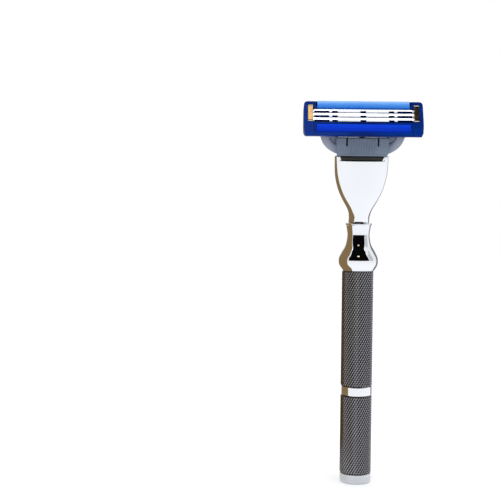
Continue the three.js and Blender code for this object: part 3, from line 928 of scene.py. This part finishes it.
def makeWing():
    # a rounded lobe from the panel out to the arm, then the arm's eye and its pin
    rings = []
    steps, sides = 28, 36
    for step in range(steps + 1):
        outer = bezier(yoke["wingOuter"], step / steps)
        inner = bezier(yoke["wingInner"], step / steps)
        middle, half = (outer + inner) / 2, (outer - inner) / 2
        ring = []
        for a in fullTurn(sides):
            c = math.copysign(abs(math.cos(a)) ** 0.75, math.cos(a))
            s = math.copysign(abs(math.sin(a)) ** 0.75, math.sin(a))
            point = middle + half * c
            ring.append(Vector((point.x, yoke["wingMiddle"] + yoke["wingDepth"] * s, point.y)))
        rings.append(ring)
    y, z = pivotInHead["y"], pivotInHead["z"]
    arm = block((yoke["armInner"], yoke["armOuter"]), (y - 1.1, y + 1.1), (8.2, z))
    eye = rodX(yoke["armHead"], (yoke["armInner"], yoke["armOuter"]), y, z)
    pin = rodX(yoke["pin"], (yoke["pinEnd"], yoke["armOuter"] - 0.3), y, z)
    web = prism(yoke["web"], "y", -1.9, -1.2)
    return joined(skin(rings), softened(joined(arm, eye), 0.12), pin, web)


def makeConnector():
    y0, y1 = yoke["front"], yoke["back"]
    foot, top = yoke["foot"], yoke["top"]
    wide, narrow = yoke["halfWidth"], yoke["footHalfWidth"]
    corners = [(-narrow, foot), (narrow, foot), (wide, foot + 1)]
    corners += [(wide, top), (-wide, top), (-wide, foot + 1)]
    outline = rounded(corners, [0.5, 0.5, 0.7, 0.5, 0.5, 0.7])
    panel = softened(prism(outline, "y", y0, y1), yoke["edge"], 4)
    ribs = []
    for i in range(yoke["ribs"]):
        x = (i - (yoke["ribs"] - 1) / 2) * yoke["ribPitch"]
        half = yoke["ribWidth"] / 2
        low, high = foot + 0.55, top - 0.3
        corners = [(x - half, low), (x + half, low), (x + half, high), (x - half, high)]
        rib = prism(rounded(corners, 0.2), "y", y0 - yoke["ribHeight"], y0 + 0.3)
        ribs.append(softened(rib, 0.09, 2))
    wing = makeWing()
    socket = yoke["socket"]
    slot = (yoke["slotX"] - yoke["slotWidth"] / 2, yoke["slotX"] + yoke["slotWidth"] / 2)
    slotZ = (yoke["slotFoot"], top + 1)
    body = joined(panel, wing, mirrored(wing), *ribs)
    body = cut(
        body,
        middleBlock(socket["halfWidth"], (socket["front"], socket["back"]), (0, socket["top"])),
        dockBore(yoke["plungerHole"], 2, top + 1),
        block(slot, (y0 - 1, socket["front"] + 0.1), slotZ),
        block((-slot[1], -slot[0]), (y0 - 1, socket["front"] + 0.1), slotZ),
    )
    body = softened(body, 0.06, 2, 45)
    addPiece("connector_moulded", body, headFrame, "connector", "grey_blue_plastic", "connector")


# cartridge
bladeEdges = [spanIn(cartridgeFrame, f"blade_{i}")[0].z for i in (1, 2, 3)]
cartridge = {
    "face": -3.4,
    "endFace": -3.75,
    "endInner": 17.3,
    "back": 1.6,
    "foot": -3.6,
    "head": 9.4,
    "bay": {"halfWidth": 18.7, "back": -0.6, "foot": 1.72, "head": 6.97},
    "slots": [(-17.2, -12), (-10.9, -1.6), (1.6, 10.9), (12, 17.2)],
    "fit": 0.05,
    "clipX": (17.75, 19.5),
    "clipZ": (1.7, 8.2),
    "clipThick": 0.3,
    "clipFront": -3.72,
    "armSlot": {"inner": 13.1, "outer": 15.3, "front": -1.6, "top": 1.45},
    "camLever": 2.38,
    "camRadius": 0.8,
    "camHalfWidth": 1.3,
    "camLevel": 47.5,
    "lipHalfWidth": 17.2,
    "pinHole": 0.87,
    "pinHoleEnd": 11.5,
    "notchX": (15.9, 16.75),
    "notchZ": (7.7, 9.1),
    "notchBack": -2.3,
    "plungerWay": {"halfWidth": 1.5, "front": 0.7, "top": 0.9},
    "drain": 0.6,
}
# the housing's cutting tools run from well in front of it, or well below it, to well behind it
past = {"front": -6, "back": 4, "foot": -6, "head": 12}


def grooveFor(node, opening):
    # the room that a fitted strip needs in the housing, open towards the front
    low, high = spanIn(cartridgeFrame, node)
    fit = cartridge["fit"]
    xs = (low.x - fit, high.x + fit)
    return block(xs, (past["front"], high.y + fit), (low.z - fit, high.z + fit + opening))


def housingShell():
    # the moulding's outside, with the cam nose that pushes the plunger
    halfWidth = spanIn(cartridgeFrame, "cartridge_housing")[1].x
    foot, head, back, endFace = (cartridge[key] for key in ("foot", "head", "back", "endFace"))
    front = [
        (-halfWidth + 0.35, foot),
        (halfWidth - 0.35, foot),
        (halfWidth, 0.6),
        (halfWidth - 0.15, head),
        (-halfWidth + 0.15, head),
        (-halfWidth, 0.6),
    ]
    outline = rounded(front, [1.5, 1.5, 1.2, 1.5, 1.5, 1.2], 10)
    side = [(endFace, foot), (-2.3, foot), (back, -1.3), (back, 7.9), (0.3, head), (endFace, head)]
    sideRound = rounded(side, [0, 0.8, 0.8, 0.6, 0.6, 0], 5)
    shell = boolean(prism(outline, "y", endFace, 3), "INTERSECT", [prism(sideRound, "x", -22, 22)])
    shell = softened(shell, 0.38, 4, 50)
    turn = math.radians(cartridge["camLevel"])
    camX = (-cartridge["camHalfWidth"], cartridge["camHalfWidth"])
    lever = cartridge["camLever"]
    nose = rodX(cartridge["camRadius"], camX, lever * math.cos(turn), lever * math.sin(turn))
    return joined(shell, nose)


def sideTools(sign):
    # at one end: the arm's slot and pin hole, the notch beside the strip, and the clip's bed and two slots
    arm = cartridge["armSlot"]
    clipX, clipZ = cartridge["clipX"], cartridge["clipZ"]
    fromFront = (past["front"], past["back"])

    def ends(inner, outer):
        return sorted((sign * inner, sign * outer))

    clipEnds = ends(clipX[0] - 0.06, clipX[1] + 0.06)
    clipLow = (clipZ[0] - 0.05, clipZ[0] + 0.35)
    clipHigh = (clipZ[1] - 0.35, clipZ[1] + 0.05)
    clipBed = (past["front"], cartridge["clipFront"] + 0.32)
    return [
        block(ends(arm["inner"], arm["outer"]), (arm["front"], past["back"]), (past["foot"], arm["top"])),
        rodX(cartridge["pinHole"], ends(cartridge["pinHoleEnd"], arm["inner"] + 0.4), 0, 0),
        block(ends(*cartridge["notchX"]), (past["front"], cartridge["notchBack"]), cartridge["notchZ"]),
        block(clipEnds, clipBed, (clipLow[0], clipHigh[1])),
        block(clipEnds, fromFront, clipLow),
        block(clipEnds, fromFront, clipHigh),
    ]


def makeHousing():
    bay, face, lipX = cartridge["bay"], cartridge["face"], cartridge["lipHalfWidth"]
    foot = bay["foot"]
    lipFoot = [(face - 1, foot - 1.35), (face - 1, foot + 0.1), (face + 0.45, foot + 0.1)]
    tools = [
        middleBlock(cartridge["endInner"], (past["front"], face), (past["foot"], past["head"])),
        middleBlock(bay["halfWidth"], (past["front"], bay["back"]), (foot, bay["head"])),
        grooveFor("guard_strip", 0),
        grooveFor("lubricating_strip", 3),
        prism(lipFoot, "x", -lipX, lipX),
    ]
    for sign in (-1, 1):
        tools += sideTools(sign)
    way = cartridge["plungerWay"]
    tools.append(middleBlock(way["halfWidth"], (way["front"], past["back"]), (past["foot"], way["top"])))
    for edge in bladeEdges:
        for xs in cartridge["slots"]:
            tools.append(block(xs, (bay["back"] - 0.5, past["back"]), (edge, edge + cartridge["drain"])))
    shell = softened(cut(housingShell(), *tools), 0.07, 2, 45)
    addToCartridge("cartridge_housing_moulded", shell, "navy_plastic", "cartridge_housing")


def makeGuard():
    # low fins run the length of the soft guard
    look = {"fins": 5, "fin": 0.13, "round": 0.25}
    low, high = spanIn(cartridgeFrame, "guard_strip")
    section = [(high.y, low.z), (high.y, high.z)]
    count = look["fins"] * 10
    for i in range(count + 1):
        along = i / count
        end = min(1.0, 6 * along, 6 * (1 - along))
        wave = abs(math.sin(along * look["fins"] * math.pi)) ** 0.7
        y = low.y + look["round"] * (1 - end) + look["fin"] * (1 - wave)
        section.append((y, high.z - along * (high.z - low.z)))
    mesh = softened(prism(section, "x", low.x, high.x), 0.06, 2, 60)
    addToCartridge("guard_strip_moulded", mesh, "guard_rubber", "guard_strip")


def makeLubricatingStrip():
    low, high = spanIn(cartridgeFrame, "lubricating_strip")
    corners = [
        (high.y, low.z),
        (high.y, high.z - 0.5),
        (high.y - 0.6, high.z),
        (low.y + 0.45, high.z - 0.1),
        (low.y, high.z - 1.1),
        (low.y + 0.02, low.z + 0.6),
        (low.y + 0.4, low.z),
    ]
    section = rounded(corners, [0, 0.25, 0.15, 0.2, 0.5, 0.4, 0.2], 6)
    mesh = softened(prism(section, "x", low.x, high.x), 0.08, 3, 60)
    addToCartridge("lubricating_strip_cast", mesh, "strip_polymer", "lubricating_strip")


def makeClip(side, rough):
    # a band of sheet metal bent round the blade ends and clinched behind
    low, high = spanIn(cartridgeFrame, f"clip_{side}")
    thick, tab = cartridge["clipThick"], 1.1
    half = thick / 2
    path = [
        (high.y - half, low.z + tab),
        (high.y - half, low.z + half),
        (low.y + half, low.z + half),
        (low.y + half, high.z - half),
        (high.y - half, high.z - half),
        (high.y - half, high.z - tab),
    ]
    outline = ribbon(path, thick, 0.55, 7)
    mesh = softened(prism(outline, "x", low.x, high.x), 0.06, 2, 50)
    finish = makeClipMetal(f"clip_metal_{side}", rough)
    addToCartridge(f"clip_{side}_bent", mesh, "clip_metal", f"clip_{side}", 30, finish)


blade = {"lean": 22, "height": 1.15, "thick": 0.12, "bevel": 0.3, "honed": 0.19, "edgeY": -3.35}
support = {
    "gap": 0.02,
    "thick": 0.2,
    "start": 0.42,
    "end": 1.12,
    "back": -0.95,
    "windows": [(-17.2, -12), (-10.9, -9), (-1, 1), (9, 10.9), (12, 17.2)],
    "windowY": (-2.98, -1.15),
    "joggle": 0.7,
    "joggleY": (-2.84, -2.44),
}


def onBlade(edge, along, behind):
    # a point in (y, z): along the leaning blade from its edge, and behind its front face
    lean = math.radians(blade["lean"])
    y = blade["edgeY"] + along * math.sin(lean) + behind * math.cos(lean)
    return (y, edge + along * math.cos(lean) - behind * math.sin(lean))


def makeBlade(number, edge):
    # the strip, its main ground face and a fine second face at the very edge
    xs = [spanIn(cartridgeFrame, f"blade_{number}")[i].x for i in (0, 1)]
    thick = blade["thick"]
    section = [
        onBlade(edge, 0, 0),
        onBlade(edge, 0.07, thick * 0.35),
        onBlade(edge, blade["bevel"], thick),
        onBlade(edge, blade["height"], thick),
        onBlade(edge, blade["height"], 0),
        onBlade(edge, 0.2, 0),
    ]
    mesh = prism(section, "x", *xs)
    mesh.materials.append(finishes["blade_steel"])
    mesh.materials.append(honedSteel)
    lean = math.radians(blade["lean"])
    up = Vector((0, math.sin(lean), math.cos(lean)))
    start = Vector((0, *onBlade(edge, 0, 0)))
    for face in mesh.polygons:
        rise = (face.center - start).dot(up)
        face.material_index = 1 if rise < blade["honed"] and abs(face.normal.x) < 0.5 else 0
    body, node = f"blade_unit_{number}", f"blade_{number}"
    addPiece(f"{node}_ground", mesh, cartridgeFrame, body, "blade_steel", node, 5)


def makeSupport(number, edge):
    # a bent carrier: its head lies along the blade, and its pierced leg runs back between the blades
    xs = [spanIn(cartridgeFrame, f"blade_support_{number}")[i].x for i in (0, 1)]
    middle = blade["thick"] + support["gap"] + support["thick"] / 2
    toe = onBlade(edge, support["start"], blade["thick"] + support["gap"])
    legZ = toe[1] + support["thick"] / 2
    head = onBlade(edge, support["end"], middle)
    slope = math.tan(math.radians(blade["lean"]))
    bend = (head[0] - (head[1] - legZ) * slope, legZ)
    near, far = support["joggleY"]
    lowZ = legZ - support["joggle"]
    path = [(support["back"], lowZ), (far, lowZ), (near, legZ), bend, head]
    outline = ribbon(path, support["thick"], 0.12, 5)
    mesh = prism(outline, "x", *xs)
    for window in support["windows"]:
        mesh = cut(mesh, block(window, support["windowY"], (legZ - 1.1, legZ + 0.2)))
    mesh = softened(mesh, 0.03, 1, 50)
    body, node = f"blade_unit_{number}", f"blade_support_{number}"
    addPiece(f"{node}_bent", mesh, cartridgeFrame, body, "blade_steel", node, 40)


# finishes
finishes["chrome"] = makeChrome()
finishes["satin_steel"] = makeSatinSteel()
finishes["gunmetal"] = makeGunmetal(knurl, handleSpan("upper_grip")[2])
finishes["spring_steel"] = makeSpringSteel()
finishes["blade_steel"] = makeBladeSteel()
honedSteel = makeHonedSteel()
plastics = {
    "black_plastic": {
        "bright": shade(16, 15, 16),
        "deep": shade(6, 6, 7),
        "speck": shade(34, 30, 28),
        "rough": 0.16,
        "gloss": 0.35,
        "coat": 0.05,
        "grain": 3200,
        "grainDepth": 0.000006,
    },
    "grey_blue_plastic": {
        "bright": shade(106, 120, 139),
        "deep": shade(94, 107, 126),
        # painted light: a lighter tone for the wings, from 8.5 to 12.5 mm out to the side
        "thin": shade(140, 144, 161),
        "thinFrom": (8.5, 12.5),
        "speck": shade(118, 130, 146),
        "rough": 0.42,
        "gloss": 0.35,
        "coat": 0.05,
        "grain": 3000,
        "grainDepth": 0.000008,
    },
    "navy_plastic": {
        "bright": shade(0, 48, 134),
        "deep": shade(0, 30, 98),
        "speck": shade(4, 56, 146),
        "rough": 0.16,
        "gloss": 0.1,
        "coat": 0.02,
        "grain": 2400,
        "grainDepth": 0.000004,
    },
}
for slot, slotLook in plastics.items():
    finishes[slot] = makePlastic(slot, slotLook)
finishes["guard_rubber"] = makeGuardRubber()
finishes["strip_polymer"] = makeStripPolymer()
print("finishes made:", len(finishes) + 1)

makeEndCap()
makeCentreRing()
makeKnurledGrip("lower_grip_knurled", "lower_grip")
makeKnurledGrip("upper_grip_knurled", "upper_grip")
makeTieRod()
makeCollar()
makeNeck()
print("handle made")

makeDockInsert()
makePlunger()
makePlungerSpring()
makeConnector()
print("dock and connector made")

makeHousing()
makeGuard()
makeLubricatingStrip()
makeClip("left", 0.14)
makeClip("right", 0.1)
for number, edge in enumerate(bladeEdges, 1):
    makeBlade(number, edge)
    makeSupport(number, edge)
print("cartridge made")


# studio
studio = {
    "worldLight": 1.0,
    "floorReach": 3.0,
    "floorTone": shade(230, 231, 232),
    "softbox": {"light": 9, "wide": 0.5, "deep": 0.09, "place": (0.05, -0.16, 0.78)},
}
view = {
    "turn": 6.0,
    "distance": 0.354,
    "eye": 0.09405,
    "aside": 6.4,
    "pitch": -1.55,
    "roll": 0.6,
    "lens": 69.34,
}


def makeWorld():
    world = bpy.data.worlds.new("studio_white")
    world.use_nodes = True
    background = world.node_tree.nodes["Background"]
    background.inputs["Strength"].default_value = studio["worldLight"]
    background.inputs["Color"].default_value = (1, 1, 1, 1)
    bpy.context.scene.world = world
    bpy.context.scene.view_settings.view_transform = "Standard"


def makeFloor():
    reach = studio["floorReach"]
    height = cadBox[0].z
    mesh = bpy.data.meshes.new("floor")
    corners = [(x * reach, y * reach, height) for x, y in ((-1, -1), (1, -1), (1, 1), (-1, 1))]
    mesh.from_pydata(corners, [], [(0, 1, 2, 3)])
    floor = bpy.data.objects.new("floor", mesh)
    bpy.context.scene.collection.objects.link(floor)
    finish = Finish("white_table", {"Roughness": 0.6, "Specular IOR Level": 0.2, "Emission Strength": 0.24})
    finish.paint("Emission Color", finish.blend(finish.noise(3), (1, 1, 1, 1), (0.98, 0.98, 1, 1)))
    finish.paint("Base Color", finish.blend(finish.noise(3), studio["floorTone"], shade(228, 229, 231)))
    mesh.materials.append(finish.material)


def makeSoftbox():
    # a long narrow strip overhead, whose reflection draws the bright lines along edges that face up
    look = studio["softbox"]
    lamp = bpy.data.lights.new("softbox", "AREA")
    lamp.shape = "RECTANGLE"
    lamp.size = look["wide"]
    lamp.size_y = look["deep"]
    lamp.energy = look["light"] * math.pi * look["wide"] * look["deep"]
    box = bpy.data.objects.new("softbox", lamp)
    box.location = Vector(look["place"])
    box.rotation_mode = "QUATERNION"
    target = (cadBox[0] + cadBox[1]) / 2
    box.rotation_quaternion = (target - box.location).to_track_quat("-Z", "Y")
    bpy.context.scene.collection.objects.link(box)


def makeCard(name, rows, colour):
    # a board beside the set that only the shiny parts see, as rows of points
    wide = len(rows[0])
    points = [Vector(point) * mm for row in rows for point in row]
    corners = [(r * wide + c) for r in range(len(rows) - 1) for c in range(wide - 1)]
    mesh = bpy.data.meshes.new(name)
    mesh.from_pydata(points, [], [(a, a + 1, a + wide + 1, a + wide) for a in corners])
    card = bpy.data.objects.new(name, mesh)
    bpy.context.scene.collection.objects.link(card)
    material = bpy.data.materials.new(name)
    material.use_nodes = True
    nodes = material.node_tree.nodes
    nodes.remove(nodes["Principled BSDF"])
    glow = nodes.new("ShaderNodeEmission")
    glow.inputs["Color"].default_value = colour
    material.node_tree.links.new(glow.outputs[0], nodes["Material Output"].inputs["Surface"])
    mesh.materials.append(material)
    card.visible_camera = False
    card.visible_diffuse = False
    card.visible_shadow = False
    card.visible_transmission = False


def onSky(azimuth, elevation, reach):
    # a far point in a direction counted from the line to the camera, in degrees
    a, e = math.radians(azimuth - view["turn"]), math.radians(elevation)
    out = Vector((math.sin(a) * math.cos(e), -math.cos(a) * math.cos(e), math.sin(e)))
    return Vector((0, 0, 90)) + out * reach


def skyRows(bands, reach, steps=16):
    # bands of (elevation, leftmost azimuth, rightmost azimuth) as rows of points
    rows = []
    for elevation, left, right in bands:
        rows.append([onSky(left + (right - left) * i / steps, elevation, reach) for i in range(steps + 1)])
    return rows


def makeCards():
    # a kraft board close on the left, the dark room behind the camera with its warm lamp,
    # a bright panel overhead, and greys on the right: a far flat, and a flag behind the razor
    left, front, back, top = -21.5, -12, 26, 172
    kraft = [[(left, front, 0), (left, back, 0)], [(left, front, top), (left, back, top)]]
    makeCard("kraft_board", kraft, shade(143, 118, 80))
    room = [
        (0, -54, 68),
        (15, -56, 67),
        (42, -54, 66),
        (54, -56, 67),
        (63, -56, 68),
        (70, -52, 66),
        (75, -44, 60),
    ]
    makeCard("dark_room", skyRows(room, 620), shade(9, 9, 12))
    makeCard("warm_lamp", skyRows([(38, -4, 12), (47, -4, 12)], 590), (1.5, 1.12, 0.66, 1))
    makeCard("grey_flat", skyRows([(0, 72, 100), (40, 72, 100)], 620), shade(206, 210, 213))
    panel = [[(-450, y, 720), (450, y, 720)] for y in (-240, 560)]
    makeCard("overhead_panel", panel, (1.7, 1.78, 1.9, 1))
    flag = [[(22, 110, 0), (150, 110, 0)], [(22, 110, 260), (150, 110, 260)]]
    makeCard("grey_flag", flag, shade(120, 124, 128))


def makeCamera():
    # the eye stands a little left of straight ahead and looks past the razor, which so stands right of middle
    camera = bpy.data.cameras.new("camera")
    camera.lens = view["lens"]
    camera.sensor_width = 36
    eye = bpy.data.objects.new("camera", camera)
    bpy.context.scene.collection.objects.link(eye)
    turn = math.radians(view["turn"])
    height = cadBox[0].z + view["eye"]
    place = Vector((-math.sin(turn) * view["distance"], -math.cos(turn) * view["distance"], height))
    aim = math.radians(view["turn"] - view["aside"])
    pitch = math.radians(view["pitch"])
    forward = Vector((math.sin(aim) * math.cos(pitch), math.cos(aim) * math.cos(pitch), math.sin(pitch)))
    right = forward.cross(Vector((0, 0, 1))).normalized()
    upward = right.cross(forward)
    roll = math.radians(view["roll"])
    right, upward = (
        right * math.cos(roll) + upward * math.sin(roll),
        upward * math.cos(roll) - right * math.sin(roll),
    )
    facing = Matrix((right, upward, -forward)).transposed().to_4x4()
    eye.matrix_world = Matrix.Translation(place) @ facing
    bpy.context.scene.camera = eye


makeWorld()
makeFloor()
makeSoftbox()
makeCards()
makeCamera()
print("studio made")
